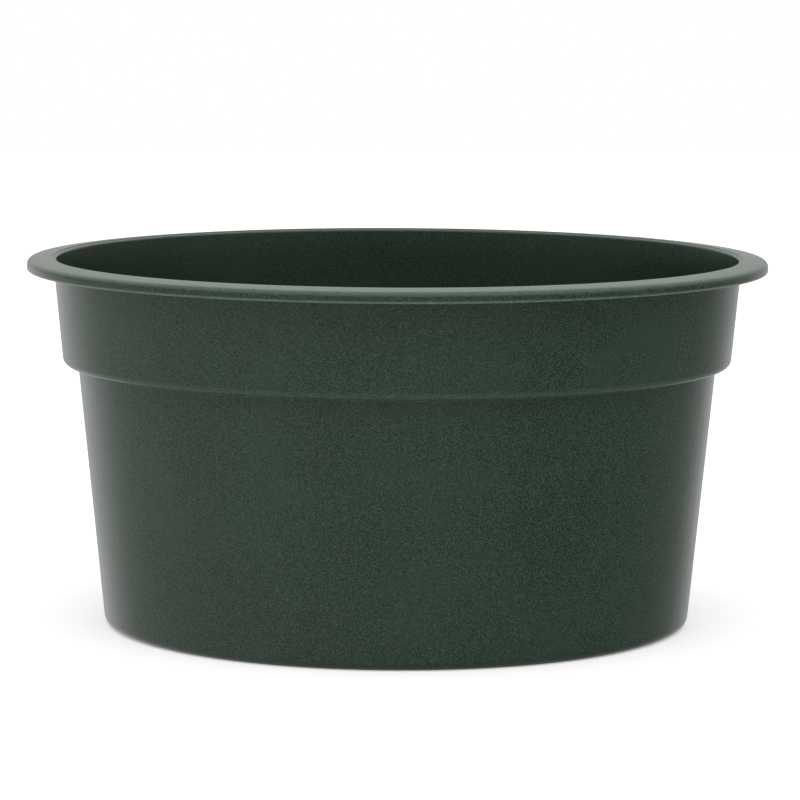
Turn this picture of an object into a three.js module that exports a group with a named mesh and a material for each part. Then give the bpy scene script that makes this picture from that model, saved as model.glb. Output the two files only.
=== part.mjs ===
// Florist bucket: one injection-moulded plastic tub with a flanged rim, a wide
// collar, a shoulder and a tapered lower wall that stands on a foot ring.
// Millimetres, +Z up, standing on z = 0 with the axis on x = y = 0.

import * as THREE from 'three';

// ---------------------------------------------------------------- driving sizes

const height = 152.4;
const rimRadius = 153;
const wall = 1.3;

// Rim: from its crest the slightly crowned flange falls to a rounded edge with a
// short skirt. Inside the crest a small step drops to a narrow ledge, which ends in
// the rounded lip of the wall.
const crestRadius = 142.95;
const crestRound = 0.4;
const crestSlope = THREE.MathUtils.degToRad(2.2);
const crownRadius = 75;
const rimEdgeRadius = 2.3;
const stepSlope = THREE.MathUtils.degToRad(75);
const lipDrop = 0.5;
const lipRadius = 0.9;
const lipTopSlope = THREE.MathUtils.degToRad(10);
const flangeDepth = 2.9;
const skirtDepth = 5.3;
const skirtEdgeRadius = 0.85;
const rimFilletRadius = 3.8;

// Collar: the wide band under the rim, measured at its outer face.
const collarRadius = 141.8;
const collarRadiusHeight = 147;
const collarDraft = THREE.MathUtils.degToRad(5.4);
const collarCornerRadius = 2.8;

// Shoulder: the step in to the lower wall. The underside of the step is flat.
const shoulderHeight = 108.3;
const shoulderFilletRadius = 1.5;

// Lower wall, measured at its outer face where it would meet the ground.
const wallRadius = 121.3;
const wallDraft = THREE.MathUtils.degToRad(5.7);
const baseCornerRadius = 4.2;

// Bottom: foot ring, shallow recess, moulding gate and the floor inside.
const footRingWidth = 6;
const recessDepth = 1.5;
const gateRadius = 3;
const gateHeight = 0.6;
const floorThickness = 2;
const floorFilletRadius = 4;

// Facets around the axis, steps along each arc of the outline, and the distance
// under which two points of the outline are one.
const segments = 72;
const arcDivisions = 2;
const samePoint = 1e-6;

// ---------------------------------------------------------------- derived sizes

const up = Math.PI / 2;
const down = -Math.PI / 2;
const inward = Math.PI;

// Outer face of each wall at a height, and its inner face one wall further in.
const collarOuter = (z) => collarRadius + (z - collarRadiusHeight) * Math.tan(collarDraft);
const collarInner = (z) => collarOuter(z) - wall / Math.cos(collarDraft);
const lowerOuter = (z) => wallRadius + z * Math.tan(wallDraft);
const lowerInner = (z) => lowerOuter(z) - wall / Math.cos(wallDraft);

// Centre of a round that touches a drafted face: `reach` is the radius of the
// round, positive when its centre lies outside the face.
const centreRadius = (face, z, reach, draft) => face(z) + reach / Math.cos(draft);

const floorHeight = recessDepth + floorThickness;
const skirtInnerRadius = rimRadius - wall;
const shoulderFilletZ = shoulderHeight - shoulderFilletRadius;
const collarCornerZ = shoulderHeight + collarCornerRadius;
const collarCornerR = centreRadius(collarOuter, collarCornerZ, -collarCornerRadius, collarDraft);
const shoulderFilletR = centreRadius(lowerOuter, shoulderFilletZ, shoulderFilletRadius, wallDraft);

// The flange's crown is tangent to the crest's round and to the edge's round.
const crestZ = height - crestRound;
const crownR = crestRadius - (crownRadius - crestRound) * Math.sin(crestSlope);
const crownZ = crestZ - (crownRadius - crestRound) * Math.cos(crestSlope);
const edgeR = rimRadius - rimEdgeRadius;
const edgeSlope = Math.asin((edgeR - crownR) / (crownRadius - rimEdgeRadius));
const edgeZ = crownZ + (crownRadius - rimEdgeRadius) * Math.cos(edgeSlope);

// The lip's round is tangent to the inner wall.
const lipZ = height - lipDrop - lipRadius;
const lipR = centreRadius(collarInner, lipZ, lipRadius, collarDraft);

// The step's riser runs straight on from the crest's round, down to the ledge.
const lipAngle = up + lipTopSlope;
const riserAngle = up + stepSlope;
const riserTopR = crestRadius + crestRound * Math.cos(riserAngle);
const riserTopZ = crestZ + crestRound * Math.sin(riserAngle);
const ledgeRun = riserTopR - (lipR + lipRadius * Math.cos(lipAngle));
const ledgeFall = riserTopZ - (lipZ + lipRadius * Math.sin(lipAngle));
const riserLength = (ledgeFall * Math.cos(lipTopSlope) - ledgeRun * Math.sin(lipTopSlope))
  / Math.sin(stepSlope - lipTopSlope);
const stepFootR = riserTopR - riserLength * Math.cos(stepSlope);
const stepFootZ = riserTopZ - riserLength * Math.sin(stepSlope);

// ---------------------------------------------------------------- outline

// Half section of the moulding, from the axis under the floor, up the outside,
// over the rim, down the inside and back to the axis on top of the floor.
function bucketOutline() {
  const outline = new THREE.Path();
  traceUnderside(outline);
  traceLowerWallOutside(outline);
  traceCollarOutside(outline);
  traceRim(outline);
  traceInside(outline);
  const points = outline.getPoints(arcDivisions);
  return points.filter((point, i) => i === 0 || point.distanceTo(points[i - 1]) > samePoint);
}

function traceUnderside(outline) {
  const gateZ = recessDepth - gateHeight;
  const cornerR = centreRadius(lowerOuter, baseCornerRadius, -baseCornerRadius, wallDraft);
  const footInner = cornerR - footRingWidth;
  outline.moveTo(0, gateZ);
  outline.lineTo(gateRadius, gateZ);
  outline.lineTo(gateRadius, recessDepth);
  outline.lineTo(footInner - recessDepth, recessDepth);
  outline.lineTo(footInner, 0);
  outline.absarc(cornerR, baseCornerRadius, baseCornerRadius, down, -wallDraft, false);
}

function traceLowerWallOutside(outline) {
  outline.absarc(shoulderFilletR, shoulderFilletZ, shoulderFilletRadius, inward - wallDraft, up, true);
}

function traceCollarOutside(outline) {
  outline.absarc(collarCornerR, collarCornerZ, collarCornerRadius, down, -collarDraft, false);
  const filletZ = height - flangeDepth - rimFilletRadius;
  const filletR = centreRadius(collarOuter, filletZ, rimFilletRadius, collarDraft);
  outline.absarc(filletR, filletZ, rimFilletRadius, inward - collarDraft, up, true);
}

function traceRim(outline) {
  const skirtZ = height - skirtDepth;
  const skirtEdgeR = rimRadius - skirtEdgeRadius;
  outline.lineTo(skirtInnerRadius, height - flangeDepth);
  outline.lineTo(skirtInnerRadius, skirtZ);
  outline.absarc(skirtEdgeR, skirtZ + skirtEdgeRadius, skirtEdgeRadius, down, 0, false);
  outline.absarc(edgeR, edgeZ, rimEdgeRadius, 0, up - edgeSlope, false);
  outline.absarc(crownR, crownZ, crownRadius, up - edgeSlope, up - crestSlope, false);
  outline.absarc(crestRadius, crestZ, crestRound, up - crestSlope, riserAngle, false);
  outline.lineTo(stepFootR, stepFootZ);
  outline.absarc(lipR, lipZ, lipRadius, lipAngle, inward - collarDraft, false);
}

function traceInside(outline) {
  const ledgeRound = shoulderFilletRadius + wall;
  outline.absarc(collarCornerR, collarCornerZ, collarCornerRadius - wall, -collarDraft, down, true);
  outline.absarc(shoulderFilletR, shoulderFilletZ, ledgeRound, up, inward - wallDraft, false);
  const floorZ = floorHeight + floorFilletRadius;
  const floorR = centreRadius(lowerInner, floorZ, -floorFilletRadius, wallDraft);
  outline.absarc(floorR, floorZ, floorFilletRadius, -wallDraft, down, true);
  outline.lineTo(0, floorHeight);
}

// ---------------------------------------------------------------- bucket

function makeBucket() {
  const geometry = new THREE.LatheGeometry(bucketOutline(), segments);
  geometry.rotateX(Math.PI / 2);
  const plastic = new THREE.MeshStandardMaterial({
    color: 0x2f3f35,
    roughness: 0.42,
    metalness: 0,
  });
  const bucket = new THREE.Mesh(geometry, plastic);
  bucket.name = 'bucket';
  return bucket;
}

const floristBucket = new THREE.Group();
floristBucket.add(makeBucket());

export default floristBucket;
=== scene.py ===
"""Florist bucket: one moulded tub in dark green plastic, shown on a pale floor in soft light."""

import logging
import math
from collections.abc import Callable
from dataclasses import dataclass, field
from enum import Enum
from typing import Any

import bmesh
import bpy
from mathutils import Matrix, Vector


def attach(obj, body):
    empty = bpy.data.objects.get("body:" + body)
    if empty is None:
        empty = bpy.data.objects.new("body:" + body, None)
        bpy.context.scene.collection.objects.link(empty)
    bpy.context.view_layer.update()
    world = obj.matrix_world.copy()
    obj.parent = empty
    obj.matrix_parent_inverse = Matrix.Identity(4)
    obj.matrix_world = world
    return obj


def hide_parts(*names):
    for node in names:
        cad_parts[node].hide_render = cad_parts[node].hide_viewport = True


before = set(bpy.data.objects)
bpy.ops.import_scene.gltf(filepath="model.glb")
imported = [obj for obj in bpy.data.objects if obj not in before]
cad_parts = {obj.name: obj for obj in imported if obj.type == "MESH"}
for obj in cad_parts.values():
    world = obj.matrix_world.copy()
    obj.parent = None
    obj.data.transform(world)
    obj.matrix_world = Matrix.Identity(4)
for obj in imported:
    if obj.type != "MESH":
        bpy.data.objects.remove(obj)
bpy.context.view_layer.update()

LOG = logging.getLogger("florist_bucket")
MM = 0.001
Colour = tuple[float, float, float]
Band = tuple[float, float]
Socket = bpy.types.NodeSocket


class Touch(Enum):
    """How handling, stacking and a dusting of grime have treated a stretch of the bucket's surface, with
    painted highlight lines and painted shade laid on as well.
    """

    CLEAN = (0.0, 0.0, 0.0)
    # Painted highlight line with light scuffing, for the collar's bottom corner and the inner lip.
    LIGHT_WEAR_HIGHLIGHT = (0.10, 0.0, 0.0)
    HANDLED = (0.38, 0.0, 0.0)
    SCUFFED = (0.50, 0.0, 0.0)
    # Painted highlight line with heavy scuffing and a dusting, for the skirt's lower edge.
    HEAVY_WEAR_HIGHLIGHT = (1.0, 0.40, 0.0)
    # Painted highlight line with a pale dusting, for the crease under the flange.
    DUST_HIGHLIGHT = (0.0, 0.35, 0.0)
    # Painted shade for the inside, a darker colour where less light reaches.
    INNER_SHADE = (0.0, 0.0, 0.40)
    # Painted shade with a light dusting, for the inner floor corner.
    SILT_SHADE = (0.0, 0.10, 0.40)
    # Painted contact shadow, full dark colour, for the base corner's underside.
    CONTACT_SHADOW = (0.0, 0.0, 1.0)

    def __init__(self, wear_and_highlight: float, dust_and_highlight: float, painted_shade: float) -> None:
        """Name the three shares that make up a touch.

        Args:
            wear_and_highlight: share of scuffed plastic and of painted highlight, from 0 to 1.
            dust_and_highlight: share of pale dusting held in a crease, and of painted highlight.
            painted_shade: share of painted shade, a dark colour laid on where shadow falls.
        """
        self.wear_and_highlight = wear_and_highlight
        self.dust_and_highlight = dust_and_highlight
        self.painted_shade = painted_shade


class Nodes:
    """Adds and joins the nodes of one material or world.

    A Mix node has several inputs of the same name, so its inputs go by number.
    """

    def __init__(self, tree: bpy.types.NodeTree) -> None:
        """Start from an emptied node tree, which the nodes then fill."""
        self.tree = tree
        tree.nodes.clear()

    def add(self, kind: str, inputs: dict[str | int, Any] | None = None, **settings: Any) -> bpy.types.Node:
        """Add one node.

        Args:
            kind: the node's type without its "ShaderNode" prefix.
            inputs: input name or number to a value, or to the socket that feeds it.
            settings: the node's own properties.

        Returns:
            The new node.
        """
        node = self.tree.nodes.new("ShaderNode" + kind)
        for name, value in settings.items():
            setattr(node, name, value)
        for key, value in (inputs or {}).items():
            if isinstance(value, Socket):
                self.tree.links.new(value, node.inputs[key])
            else:
                node.inputs[key].default_value = value
        return node

    def layer(self, name: str) -> Socket:
        """Return a layer of the mesh: scuffing and painted highlight, dusting and painted highlight, or
        painted shade.
        """
        return self.add("Attribute", attribute_name=name).outputs["Fac"]

    def maths(self, operation: str, *values: Socket | float) -> Socket:
        """Return the result of a Math node on one to three values or sockets."""
        return self.add("Math", dict(enumerate(values)), operation=operation).outputs[0]

    def vector(self, operation: str, inputs: dict[str | int, Any], output: str = "Vector") -> Socket:
        """Return one output of a Vector Math node with the given inputs."""
        return self.add("VectorMath", inputs, operation=operation).outputs[output]

    def remap(self, value: Socket, low: float, high: float, to_low: float, to_high: float) -> Socket:
        """Return a value eased from the range low to high into the range to_low to to_high."""
        inputs = {0: value, 1: low, 2: high, 3: to_low, 4: to_high}
        return self.add("MapRange", inputs, interpolation_type="SMOOTHSTEP").outputs[0]

    def blend(self, share: Socket, first: Socket | Colour, second: Socket | Colour) -> Socket:
        """Return a colour that goes from the first to the second as the share goes from 0 to 1."""
        first, second = (part if isinstance(part, Socket) else (*part, 1.0) for part in (first, second))
        return self.add("Mix", {0: share, 6: first, 7: second}, data_type="RGBA").outputs[2]

    def between(self, share: Socket, first: Socket | float, second: Socket | float) -> Socket:
        """Return a number that goes from the first to the second as the share goes from 0 to 1."""
        return self.add("Mix", {0: share, 2: first, 3: second}, data_type="FLOAT").outputs[0]


@dataclass(frozen=True)
class Pattern:
    """One noise on the surface: how fine it is, and the band of its values that shows."""

    scale: float
    detail: float
    band: Band = (0.35, 0.65)
    stretch: Colour | None = None

    def drawn(self, nodes: Nodes, where: Socket) -> Socket:
        """Draw the noise.

        Args:
            nodes: the material's nodes.
            where: the coordinates to read it at, before any stretch.

        Returns:
            The socket that holds the noise.
        """
        if self.stretch:
            where = nodes.add("Mapping", {"Vector": where, "Scale": self.stretch}).outputs[0]
        inputs = {"Vector": where, "Scale": self.scale, "Detail": self.detail}
        return nodes.add("TexNoise", inputs).outputs[0]

    def eased(self, nodes: Nodes, noise: Socket, low: float, high: float) -> Socket:
        """Return drawn noise eased from a low to a high value across the band."""
        return nodes.remap(noise, *self.band, low, high)


@dataclass(frozen=True)
class GreenPlastic:
    """Satin dark green polypropylene: moulded grain, scuffed edges, dusting, painted highlight lines on
    edges and creases, painted shade inside and on the base corner.
    """

    body: Colour = (0.0130, 0.0320, 0.0172)
    clouded: Colour = (0.0158, 0.0380, 0.0208)
    # Pale scuffed colour, laid on for real scuffing and as painted highlight lines.
    worn_and_highlit: Colour = (0.095, 0.145, 0.105)
    # Pale dusting colour, laid on in creases and as painted highlight lines.
    dusty_and_highlit: Colour = (0.150, 0.185, 0.155)
    # Near black, laid on as painted shade: the painted contact shadow on the base corner and the darker
    # inside.
    painted_shade_colour: Colour = (0.002, 0.006, 0.003)
    ior: float = 1.5

    roughness: Band = (0.25, 0.28)
    worn_and_highlit_roughness: float = 0.05
    # Roughness rises where the painted shade is heavy.
    painted_shade_roughness: float = 0.6
    heavy_painted_shade: Band = (0.5, 1.0)

    cloud: Pattern = Pattern(scale=24.0, detail=3.0)
    cloud_share: float = 0.75
    streak: Pattern = Pattern(scale=260.0, detail=2.0, band=(0.3, 0.7), stretch=(1.0, 1.0, 0.04))
    streak_share: float = 0.25
    grain: Pattern = Pattern(scale=1650.0, detail=4.0, band=(0.38, 0.70))
    grain_contrast: Band = (0.92, 1.18)
    grain_lift: Band = (-0.0085, 0.0190)
    grain_strength: float = 0.4
    grain_height: float = 0.04 * MM
    peel: Pattern = Pattern(scale=420.0, detail=2.0)
    peel_strength: float = 0.35
    peel_height: float = 0.05 * MM
    patch: Pattern = Pattern(scale=210.0, detail=3.0, band=(0.35, 0.6))
    patch_share: Band = (0.75, 1.0)
    nick: Pattern = Pattern(scale=700.0, detail=1.0, band=(0.60, 0.70), stretch=(1.0, 1.0, 0.3))
    nick_share: float = 0.8

    def material(self) -> bpy.types.Material:
        """Make the plastic.

        Returns:
            The new material.
        """
        made = bpy.data.materials.new("green_plastic_satin")
        made.use_nodes = True
        nodes = Nodes(made.node_tree)
        where = nodes.add("TexCoord").outputs["Object"]
        grain = self.grain.drawn(nodes, where)
        cloud = self.cloud.drawn(nodes, where)
        # Layer of scuffing that also holds painted highlight lines.
        wear_and_highlight = nodes.layer("wear_and_highlight")
        # Layer of painted shade.
        painted_shade = nodes.layer("painted_shade")
        fresh = self._moulded_colour(nodes, where, grain, cloud)
        inputs = {
            "Base Color": self._used_and_painted_colour(nodes, where, fresh, wear_and_highlight, painted_shade),
            "Roughness": self._roughness(nodes, cloud, wear_and_highlight, painted_shade),
            "Normal": self._relief(nodes, where, grain),
            "IOR": self.ior,
        }
        shader = nodes.add("BsdfPrincipled", inputs)
        nodes.add("OutputMaterial", {"Surface": shader.outputs[0]})
        return made

    def _moulded_colour(self, nodes: Nodes, where: Socket, grain: Socket, cloud: Socket) -> Socket:
        """Colour the plastic as it left the mould: clouds, streaks along the draw, and grain.

        Args:
            nodes: the material's nodes.
            where: the object's own coordinates.
            grain: fine noise.
            cloud: broad noise.

        Returns:
            The socket that holds the colour.
        """
        clouds = self.cloud.eased(nodes, cloud, 0.0, self.cloud_share)
        streaks = self.streak.eased(nodes, self.streak.drawn(nodes, where), 0.0, self.streak_share)
        base = nodes.blend(nodes.maths("ADD", clouds, streaks), self.body, self.clouded)
        contrast = self.grain.eased(nodes, grain, *self.grain_contrast)
        lift = self.grain.eased(nodes, grain, *self.grain_lift)
        scaled = nodes.vector("SCALE", {0: base, "Scale": contrast})
        return nodes.vector("ADD", {0: scaled, 1: lift})

    def _used_and_painted_colour(self, nodes: Nodes, where: Socket, fresh: Socket, wear_and_highlight: Socket, painted_shade: Socket) -> Socket:
        """Lay scuffed and nicked edges, dusting, painted highlight lines and painted shade over the moulded
        colour.

        Args:
            nodes: the material's nodes.
            where: the object's own coordinates.
            fresh: the colour that the plastic left the mould with.
            wear_and_highlight: share of scuffed plastic and of painted highlight.
            painted_shade: share of painted shade.

        Returns:
            The socket that holds the colour.
        """
        patch = self.patch.eased(nodes, self.patch.drawn(nodes, where), *self.patch_share)
        nick = self.nick.eased(nodes, self.nick.drawn(nodes, where), 0.0, self.nick_share)
        # Scuffing and dusting also lay painted highlight lines; the last blend lays painted shade.
        rubbed_and_highlit = nodes.maths("MULTIPLY", wear_and_highlight, nodes.maths("ADD", patch, nick))
        settled_and_highlit = nodes.maths("MULTIPLY", nodes.layer("dust_and_highlight"), patch)
        worn_and_highlit = nodes.blend(rubbed_and_highlit, fresh, self.worn_and_highlit)
        dusted_and_highlit = nodes.blend(settled_and_highlit, worn_and_highlit, self.dusty_and_highlit)
        return nodes.blend(painted_shade, dusted_and_highlit, self.painted_shade_colour)

    def _roughness(self, nodes: Nodes, cloud: Socket, wear_and_highlight: Socket, painted_shade: Socket) -> Socket:
        """Let the roughness drift a little, raise it on scuffing and painted highlights, and raise it where
        the painted shade is heavy.

        Args:
            nodes: the material's nodes.
            cloud: broad noise.
            wear_and_highlight: share of scuffed plastic and of painted highlight.
            painted_shade: share of painted shade.

        Returns:
            The socket that holds the roughness.
        """
        drift = self.cloud.eased(nodes, cloud, *self.roughness)
        worn_and_highlit = nodes.maths("MULTIPLY_ADD", wear_and_highlight, self.worn_and_highlit_roughness, drift)
        return nodes.maths("ADD", nodes.remap(painted_shade, *self.heavy_painted_shade, 0.0, self.painted_shade_roughness), worn_and_highlit)

    def _relief(self, nodes: Nodes, where: Socket, grain: Socket) -> Socket:
        """Raise the moulded grain over a slight orange peel.

        Args:
            nodes: the material's nodes.
            where: the object's own coordinates.
            grain: fine noise.

        Returns:
            The socket that holds the surface normal.
        """
        peel = self.peel.drawn(nodes, where)
        soft = {"Strength": self.peel_strength, "Distance": self.peel_height, "Height": peel}
        fine = {"Strength": self.grain_strength, "Distance": self.grain_height, "Height": grain}
        return nodes.add("Bump", {**fine, "Normal": nodes.add("Bump", soft).outputs[0]}).outputs[0]


@dataclass
class Outline:
    """Half section of a turned part, drawn as one chain of edges in the XZ plane."""

    mesh: bmesh.types.BMesh = field(default_factory=bmesh.new)
    guard: float = 0.25 * MM
    guarded_length: float = 1.0 * MM
    same_point: float = 0.002 * MM
    arc_steps: int = 8
    tip: bmesh.types.BMVert | None = None
    plain: Touch = Touch.CLEAN

    def __post_init__(self) -> None:
        """Give the chain the layers that the finish reads."""
        # The first two layers also hold painted highlight lines, the third holds painted shade.
        self.wear_and_highlight = self.mesh.verts.layers.float.new("wear_and_highlight")
        self.dust_and_highlight = self.mesh.verts.layers.float.new("dust_and_highlight")
        self.painted_shade = self.mesh.verts.layers.float.new("painted_shade")

    def start(self, radius: float, height: float) -> None:
        """Put the pen down at a radius and a height."""
        self.tip = self.mesh.verts.new((radius, 0.0, height))

    def treat(self, vert: bmesh.types.BMVert, first: Touch, last: Touch, share: float) -> None:
        """Write a touch on one point of the chain.

        Args:
            vert: the point.
            first: touch at a share of 0.
            last: touch at a share of 1.
            share: how far the point lies from the first touch to the last.
        """
        vert[self.wear_and_highlight] = first.wear_and_highlight + (last.wear_and_highlight - first.wear_and_highlight) * share
        vert[self.dust_and_highlight] = first.dust_and_highlight + (last.dust_and_highlight - first.dust_and_highlight) * share
        vert[self.painted_shade] = first.painted_shade + (last.painted_shade - first.painted_shade) * share

    def line(self, radius: float, height: float, fade_to: Touch | None = None) -> None:
        """Draw straight on, with a guard point near each end that keeps the shading flat.

        Args:
            radius: radius where the line ends.
            height: height where the line ends.
            fade_to: the touch that plain stretches have from the line's end on, where it changes.
        """
        last = fade_to or self.plain
        begin = self.tip.co.copy()
        end = Vector((radius, 0.0, height))
        along = end - begin
        if along.length < self.same_point:
            return
        stops = [(end, last)]
        if along.length > self.guarded_length:
            step = along.normalized() * self.guard
            stops = [(begin + step, self.plain), (end - step, last), (end, last)]
        for stop, touch in stops:
            grown = bmesh.ops.extrude_vert_indiv(self.mesh, verts=[self.tip])["verts"][0]
            bmesh.ops.translate(self.mesh, verts=[grown], vec=stop - grown.co)
            self.treat(grown, touch, touch, 0.0)
            self.tip = grown
        self.plain = last

    def arc(
        self,
        centre: tuple[float, float],
        radius: float,
        start: float,
        end: float,
        touch: Touch = Touch.CLEAN,
        fade_to: Touch | None = None,
    ) -> None:
        """Draw on to an arc and round it.

        Args:
            centre: radius and height of the arc's centre.
            radius: the arc's own radius.
            start: angle where it starts, anticlockwise from straight out.
            end: angle where it ends.
            touch: how the surface along the arc has been treated.
            fade_to: how it has been treated at the arc's end, where that differs.
        """
        r, z = centre
        self.line(r + radius * math.cos(start), z + radius * math.sin(start))
        turned = bmesh.ops.spin(
            self.mesh,
            geom=[self.tip],
            cent=(r, 0.0, z),
            axis=(0.0, -1.0, 0.0),
            angle=end - start,
            steps=self.arc_steps,
        )
        self.mesh.verts.ensure_lookup_table()
        for step, vert in enumerate(self.mesh.verts[-self.arc_steps - 1 :]):
            self.treat(vert, touch, fade_to or touch, step / self.arc_steps)
        self.tip = next(part for part in turned["geom_last"] if isinstance(part, bmesh.types.BMVert))

    def turn(self, steps: int) -> None:
        """Spin the half section once round the Z axis and close the seam and both poles.

        Args:
            steps: flat faces in one turn.
        """
        bmesh.ops.spin(
            self.mesh,
            geom=self.mesh.verts[:] + self.mesh.edges[:],
            cent=(0.0, 0.0, 0.0),
            axis=(0.0, 0.0, 1.0),
            angle=math.tau,
            steps=steps,
            use_merge=True,
        )
        bmesh.ops.remove_doubles(self.mesh, verts=self.mesh.verts, dist=self.same_point)
        bmesh.ops.recalc_face_normals(self.mesh, faces=self.mesh.faces)


@dataclass
class Bucket:
    """The moulded tub: rim, skirt, collar, shoulder, lower wall, foot ring and floor in one shot."""

    height: float = 152.4 * MM
    rim_radius: float = 153.0 * MM
    wall: float = 1.3 * MM

    crest_radius: float = 142.95 * MM
    crest_round: float = 0.4 * MM
    crest_slope: float = math.radians(2.2)
    crown_radius: float = 75.0 * MM
    rim_edge_radius: float = 2.3 * MM
    step_slope: float = math.radians(75.0)
    lip_drop: float = 0.5 * MM
    lip_radius: float = 0.9 * MM
    lip_top_slope: float = math.radians(10.0)
    flange_depth: float = 2.9 * MM
    skirt_depth: float = 5.3 * MM
    skirt_edge_radius: float = 0.85 * MM
    rim_fillet_radius: float = 3.8 * MM

    collar_radius: float = 141.8 * MM
    collar_radius_height: float = 147.0 * MM
    collar_draft: float = math.radians(5.4)
    collar_corner_radius: float = 2.8 * MM
    shoulder_height: float = 108.3 * MM
    shoulder_fillet_radius: float = 1.5 * MM

    wall_radius: float = 121.3 * MM
    wall_draft: float = math.radians(5.7)
    base_corner_radius: float = 4.2 * MM
    foot_ring_width: float = 6.0 * MM
    recess_depth: float = 1.5 * MM
    gate_radius: float = 3.0 * MM
    gate_height: float = 0.6 * MM
    floor_thickness: float = 2.0 * MM
    floor_fillet_radius: float = 4.0 * MM
    # Depth below the rim where the painted shade inside reaches full strength.
    inner_shade_depth: float = 11.0 * MM

    turn_steps: int = 288
    finish: GreenPlastic = field(default_factory=GreenPlastic)

    def collar_outer(self, z: float) -> float:
        """Return the collar's outer radius at a height."""
        return self.collar_radius + (z - self.collar_radius_height) * math.tan(self.collar_draft)

    def collar_inner(self, z: float) -> float:
        """Return the collar's inner radius at a height."""
        return self.collar_outer(z) - self.wall / math.cos(self.collar_draft)

    def lower_outer(self, z: float) -> float:
        """Return the lower wall's outer radius at a height."""
        return self.wall_radius + z * math.tan(self.wall_draft)

    def lower_inner(self, z: float) -> float:
        """Return the lower wall's inner radius at a height."""
        return self.lower_outer(z) - self.wall / math.cos(self.wall_draft)

    def build(self) -> bpy.types.Object:
        """Draw the half section, turn it and dress it.

        Returns:
            The finished piece.
        """
        outline = Outline()
        self._underside(outline)
        self._outside(outline)
        self._skirt(outline)
        self._flange(outline)
        self._lip(outline)
        self._inside(outline)
        outline.turn(self.turn_steps)
        mesh = bpy.data.meshes.new("bucket_shell")
        outline.mesh.to_mesh(mesh)
        outline.mesh.free()
        mesh.shade_smooth()
        mesh.materials.append(self.finish.material())
        piece = bpy.data.objects.new("bucket_shell", mesh)
        bpy.context.scene.collection.objects.link(piece)
        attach(piece, "root")
        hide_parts("bucket")
        return piece

    def _underside(self, pen: Outline) -> None:
        """Draw the gate mark, the recess, the foot ring and the base corner.

        Args:
            pen: the half section to start.
        """
        corner = self.base_corner_radius
        r = self._centre(self.lower_outer, corner, -corner, self.wall_draft)
        ring = r - self.foot_ring_width
        gate = self.recess_depth - self.gate_height
        pen.start(0.0, gate)
        pen.line(self.gate_radius, gate)
        pen.line(self.gate_radius, self.recess_depth)
        pen.line(ring - self.recess_depth, self.recess_depth)
        pen.line(ring, 0.0)
        # Painted contact shadow along the base corner, darkest at the bottom and fading out up the corner.
        pen.arc((r, corner), corner, -math.pi / 2, -self.wall_draft, Touch.CONTACT_SHADOW, Touch.CLEAN)

    def _outside(self, pen: Outline) -> None:
        """Draw the lower wall, the shoulder and the collar up to the flange's underside.

        Args:
            pen: the half section to draw on.
        """
        fillet = self.shoulder_fillet_radius
        z = self.shoulder_height - fillet
        r = self._centre(self.lower_outer, z, fillet, self.wall_draft)
        pen.arc((r, z), fillet, math.pi - self.wall_draft, math.pi / 2)
        corner = self.collar_corner_radius
        z = self.shoulder_height + corner
        r = self._centre(self.collar_outer, z, -corner, self.collar_draft)
        # Painted highlight line, with light scuffing, along the collar's bottom corner.
        pen.arc((r, z), corner, -math.pi / 2, -self.collar_draft, Touch.LIGHT_WEAR_HIGHLIGHT)
        fillet = self.rim_fillet_radius
        z = self.height - self.flange_depth - fillet
        r = self._centre(self.collar_outer, z, fillet, self.collar_draft)
        # Painted highlight line, with a pale dusting, in the crease under the flange.
        pen.arc((r, z), fillet, math.pi - self.collar_draft, math.pi / 2, Touch.DUST_HIGHLIGHT)

    def _skirt(self, pen: Outline) -> None:
        """Draw the flange's underside, the skirt's inner face and its rounded lower edge.

        Args:
            pen: the half section to draw on.
        """
        inner = self.rim_radius - self.wall
        edge = self.skirt_edge_radius
        foot = self.height - self.skirt_depth
        pen.line(inner, self.height - self.flange_depth)
        pen.line(inner, foot)
        # Painted highlight line, with heavy scuffing and a dusting, along the skirt's lower edge, fading to
        # handled scuffing.
        pen.arc((self.rim_radius - edge, foot + edge), edge, -math.pi / 2, 0.0, Touch.HEAVY_WEAR_HIGHLIGHT, Touch.HANDLED)

    def _flange(self, pen: Outline) -> None:
        """Draw the rim's rounded edge, the crowned flange and the crest at its inner end.

        Args:
            pen: the half section to draw on.
        """
        up = math.pi / 2
        crest_z = self.height - self.crest_round
        reach = self.crown_radius - self.crest_round
        crown_r = self.crest_radius - reach * math.sin(self.crest_slope)
        crown_z = crest_z - reach * math.cos(self.crest_slope)
        edge_r = self.rim_radius - self.rim_edge_radius
        edge_reach = self.crown_radius - self.rim_edge_radius
        edge_slope = math.asin((edge_r - crown_r) / edge_reach)
        edge_z = crown_z + edge_reach * math.cos(edge_slope)
        crown = (up - edge_slope, up - self.crest_slope)
        crest = (up - self.crest_slope, up + self.step_slope)
        pen.arc((edge_r, edge_z), self.rim_edge_radius, 0.0, up - edge_slope, Touch.CLEAN, Touch.SCUFFED)
        pen.arc((crown_r, crown_z), self.crown_radius, *crown, Touch.HANDLED)
        pen.arc((self.crest_radius, crest_z), self.crest_round, *crest, Touch.HANDLED)

    def _lip(self, pen: Outline) -> None:
        """Draw the step down from the crest, the ledge inside it and the rounded lip.

        Args:
            pen: the half section to draw on.
        """
        lip_z = self.height - self.lip_drop - self.lip_radius
        lip_r = self._centre(self.collar_inner, lip_z, self.lip_radius, self.collar_draft)
        ledge = self.lip_top_slope
        top_r = self.crest_radius - self.crest_round * math.sin(self.step_slope)
        top_z = self.height - self.crest_round + self.crest_round * math.cos(self.step_slope)
        run = top_r - (lip_r - self.lip_radius * math.sin(ledge))
        fall = top_z - (lip_z + self.lip_radius * math.cos(ledge))
        riser = (fall * math.cos(ledge) - run * math.sin(ledge)) / math.sin(self.step_slope - ledge)
        pen.line(top_r - riser * math.cos(self.step_slope), top_z - riser * math.sin(self.step_slope))
        arc = (math.pi / 2 + ledge, math.pi - self.collar_draft)
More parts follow.
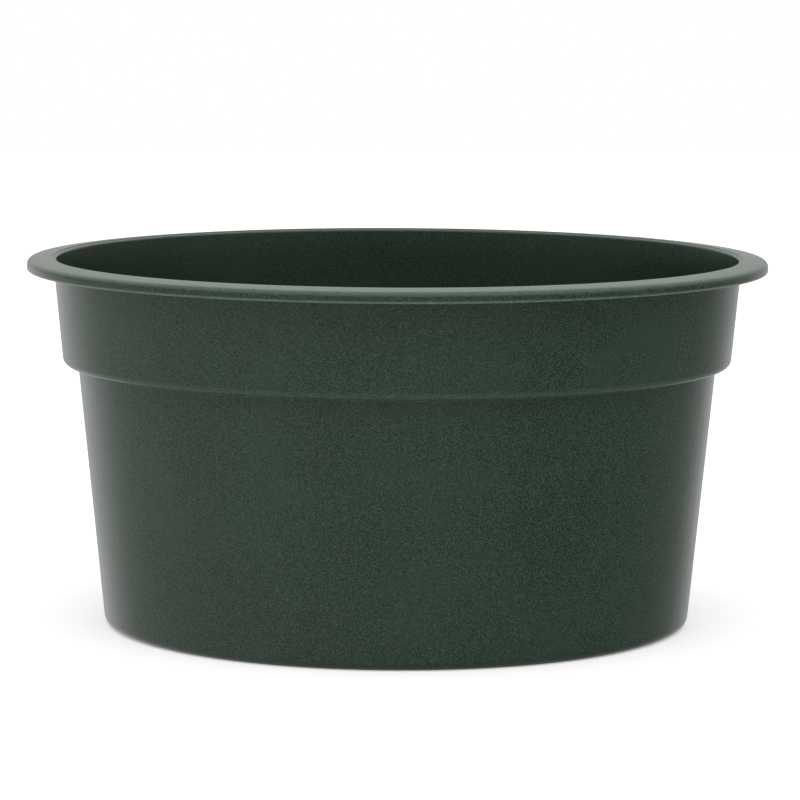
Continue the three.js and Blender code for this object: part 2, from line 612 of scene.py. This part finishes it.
        # Painted highlight, with light scuffing, on the lip at the top of the inner wall.
        pen.arc((lip_r, lip_z), self.lip_radius, *arc, Touch.LIGHT_WEAR_HIGHLIGHT)

    def _inside(self, pen: Outline) -> None:
        """Draw the inner collar, the inner ledge, the lower wall and the floor.

        Args:
            pen: the half section to finish.
        """
        # Painted shade: the inner wall darkens from the lip down to this depth and stays dark over the rest
        # of the inside.
        mark = self.height - self.inner_shade_depth
        pen.line(self.collar_inner(mark), mark, Touch.INNER_SHADE)
        ledge = self.shoulder_height + self.wall
        corner = self.collar_corner_radius - self.wall
        z = ledge + corner
        r = self._centre(self.collar_inner, z, -corner, self.collar_draft)
        pen.arc((r, z), corner, -self.collar_draft, -math.pi / 2, Touch.INNER_SHADE)
        fillet = self.shoulder_fillet_radius + self.wall
        z = ledge - fillet
        r = self._centre(self.lower_inner, z, fillet, self.wall_draft)
        pen.arc((r, z), fillet, math.pi / 2, math.pi - self.wall_draft, Touch.INNER_SHADE)
        floor = self.recess_depth + self.floor_thickness
        corner = self.floor_fillet_radius
        z = floor + corner
        r = self._centre(self.lower_inner, z, -corner, self.wall_draft)
        # Painted shade with a light dusting in the inner floor corner.
        pen.arc((r, z), corner, -self.wall_draft, -math.pi / 2, Touch.SILT_SHADE)
        pen.line(0.0, floor)

    @staticmethod
    def _centre(face: Callable[[float], float], z: float, reach: float, draft: float) -> float:
        """Return the radius at height z of a centre that lies a distance off a tapered face."""
        return face(z) + reach / math.cos(draft)


@dataclass(frozen=True)
class Ring:
    """Brightness of one level ring of the surround: in front, and what each other side adds to it."""

    front: float
    back: float
    left: float
    right: float


@dataclass
class Studio:
    """A pale floor and a soft surround, a large panel above the front and a low strip at the left."""

    floor_half: float = 3.2
    floor_white: float = 0.80
    floor_glow: float = 0.45
    panel_size: float = 2.4
    panel_distance: float = 2.4
    panel_elevation: float = math.radians(65.0)
    panel_power: float = 20.0
    strip_size: tuple[float, float] = (1.5, 0.5)
    strip_distance: float = 2.2
    strip_turn: float = math.radians(110.0)
    strip_height: float = 0.1
    strip_power: float = 11.0
    under: Ring = Ring(front=0.41, back=0.47, left=0.15, right=-0.17)
    over: Ring = Ring(front=0.16, back=0.46, left=0.10, right=0.20)
    above: float = 1.20
    back_turn: float = math.radians(5.0)
    back_band: Band = (0.52, 1.0)
    horizon_band: Band = (-0.12, 0.16)
    rise_band: Band = (0.1, 0.75)

    def build(self) -> bpy.types.Object:
        """Set the surround and the lights, and lay the floor.

        Returns:
            The floor.
        """
        self._surround()
        across, up = math.cos(self.panel_elevation), math.sin(self.panel_elevation)
        overhead = Vector((0.0, -across, up)) * self.panel_distance
        self._light("soft_panel", overhead, (self.panel_size, self.panel_size), self.panel_power)
        aside = Vector((-math.sin(self.strip_turn), -math.cos(self.strip_turn), 0.0)) * self.strip_distance
        aside.z = self.strip_height
        self._light("soft_strip", aside, self.strip_size, self.strip_power)
        return self._floor()

    def _floor(self) -> bpy.types.Object:
        """Lay the floor, a plain pale sheet under the bucket that no reflection shows.

        Returns:
            The floor.
        """
        drawn = bmesh.new()
        bmesh.ops.create_grid(drawn, x_segments=1, y_segments=1, size=self.floor_half)
        mesh = bpy.data.meshes.new("floor")
        drawn.to_mesh(mesh)
        drawn.free()
        floor = bpy.data.objects.new("floor", mesh)
        bpy.context.scene.collection.objects.link(floor)
        made = bpy.data.materials.new("pale_floor")
        made.use_nodes = True
        nodes = Nodes(made.node_tree)
        white = (self.floor_white, self.floor_white, self.floor_white, 1.0)
        sheet = {"Base Color": white, "Roughness": 1.0}
        glow = {"Emission Color": white, "Emission Strength": self.floor_glow}
        nodes.add("OutputMaterial", {"Surface": nodes.add("BsdfPrincipled", sheet | glow).outputs[0]})
        mesh.materials.append(made)
        floor.visible_glossy = False
        return floor

    def _light(self, name: str, place: Vector, size: tuple[float, float], power: float) -> None:
        """Hang one soft light that faces the bucket and that no camera or reflection shows.

        Args:
            name: the light's name.
            place: where its centre hangs.
            size: its width and height.
            power: its power in watts.
        """
        light = bpy.data.lights.new(name, "AREA")
        light.shape = "RECTANGLE"
        light.size, light.size_y = size
        light.energy = power
        hung = bpy.data.objects.new(name, light)
        facing = place.to_track_quat("Z", "Y").to_matrix().to_4x4()
        hung.matrix_world = Matrix.Translation(place) @ facing
        hung.visible_camera = False
        hung.visible_glossy = False
        bpy.context.scene.collection.objects.link(hung)

    def _surround(self) -> None:
        """Fill the world with soft light: bright low behind and overhead, dim just above the horizon."""
        world = bpy.data.worlds.new("soft_surround")
        bpy.context.scene.world = world
        world.use_nodes = True
        nodes = Nodes(world.node_tree)
        direction = nodes.add("TexCoord").outputs["Generated"]
        level_x, _, level_z = nodes.add("SeparateXYZ", {0: direction}).outputs
        backwards = (-math.sin(self.back_turn), math.cos(self.back_turn), 0.0)
        facing = nodes.vector("DOT_PRODUCT", {0: direction, 1: backwards}, "Value")
        sides = (
            nodes.remap(facing, *self.back_band, 0.0, 1.0),
            nodes.remap(level_x, 0.0, -1.0, 0.0, 1.0),
            nodes.remap(level_x, 0.0, 1.0, 0.0, 1.0),
        )
        under, over = (self._glow(nodes, ring, *sides) for ring in (self.under, self.over))
        crossing = nodes.remap(level_z, *self.horizon_band, 0.0, 1.0)
        rise = nodes.remap(level_z, *self.rise_band, 0.0, 1.0)
        strength = nodes.between(rise, nodes.between(crossing, under, over), self.above)
        white = {"Color": (1.0, 1.0, 1.0, 1.0)}
        soft = nodes.add("Background", white | {"Strength": strength}).outputs[0]
        plain = nodes.add("Background", white | {"Strength": 1.0}).outputs[0]
        seen = nodes.add("LightPath").outputs["Is Camera Ray"]
        mixed = nodes.add("MixShader", {0: seen, 1: soft, 2: plain})
        nodes.add("OutputWorld", {"Surface": mixed.outputs[0]})

    @staticmethod
    def _glow(nodes: Nodes, ring: Ring, back: Socket, left: Socket, right: Socket) -> Socket:
        """Add up the brightness of one ring of the surround.

        Args:
            nodes: the world's nodes.
            ring: what each side gives.
            back: how far a direction faces the back.
            left: how far it faces the left.
            right: how far it faces the right.

        Returns:
            The socket that holds the brightness.
        """
        middle = nodes.maths("MULTIPLY_ADD", back, ring.back, ring.front)
        aside = nodes.maths("MULTIPLY_ADD", left, ring.left, nodes.maths("MULTIPLY", right, ring.right))
        return nodes.maths("ADD", middle, aside)


@dataclass
class Viewpoint:
    """The camera: a long lens a little above the rim, looking slightly down at the bucket."""

    distance: float = 1.7235
    height: float = 0.3008
    pitch: float = math.radians(6.905)
    yaw: float = math.radians(-0.0426)
    roll: float = 0.0045
    lens: float = 187.85
    sensor: float = 36.0
    nearest: float = 0.05
    farthest: float = 100.0

    def build(self) -> bpy.types.Object:
        """Set up the camera as the scene's own.

        Returns:
            The camera.
        """
        data = bpy.data.cameras.new("camera")
        data.lens = self.lens
        data.sensor_width = self.sensor
        data.clip_start = self.nearest
        data.clip_end = self.farthest
        camera = bpy.data.objects.new("camera", data)
        level = Matrix.Rotation(math.pi / 2 - self.pitch, 4, "X")
        turned = Matrix.Rotation(self.yaw, 4, "Z") @ level @ Matrix.Rotation(self.roll, 4, "Z")
        camera.matrix_world = Matrix.Translation((0.0, -self.distance, self.height)) @ turned
        bpy.context.scene.collection.objects.link(camera)
        bpy.context.scene.camera = camera
        return camera


def report(piece: bpy.types.Object) -> None:
    """Log a piece's name, its size in millimetres and its number of faces."""
    size = " x ".join(f"{side / MM:.1f}" for side in piece.dimensions)
    LOG.info("%s: %s mm, %d faces", piece.name, size, len(piece.data.polygons))


def main() -> None:
    """Build the bucket, the studio and the camera."""
    logging.basicConfig(level=logging.INFO, format="%(name)s %(message)s")
    bpy.context.scene.view_settings.view_transform = "Standard"
    report(Bucket().build())
    report(Studio().build())
    Viewpoint().build()
    bpy.context.view_layer.update()


if __name__ == "__main__":
    main()
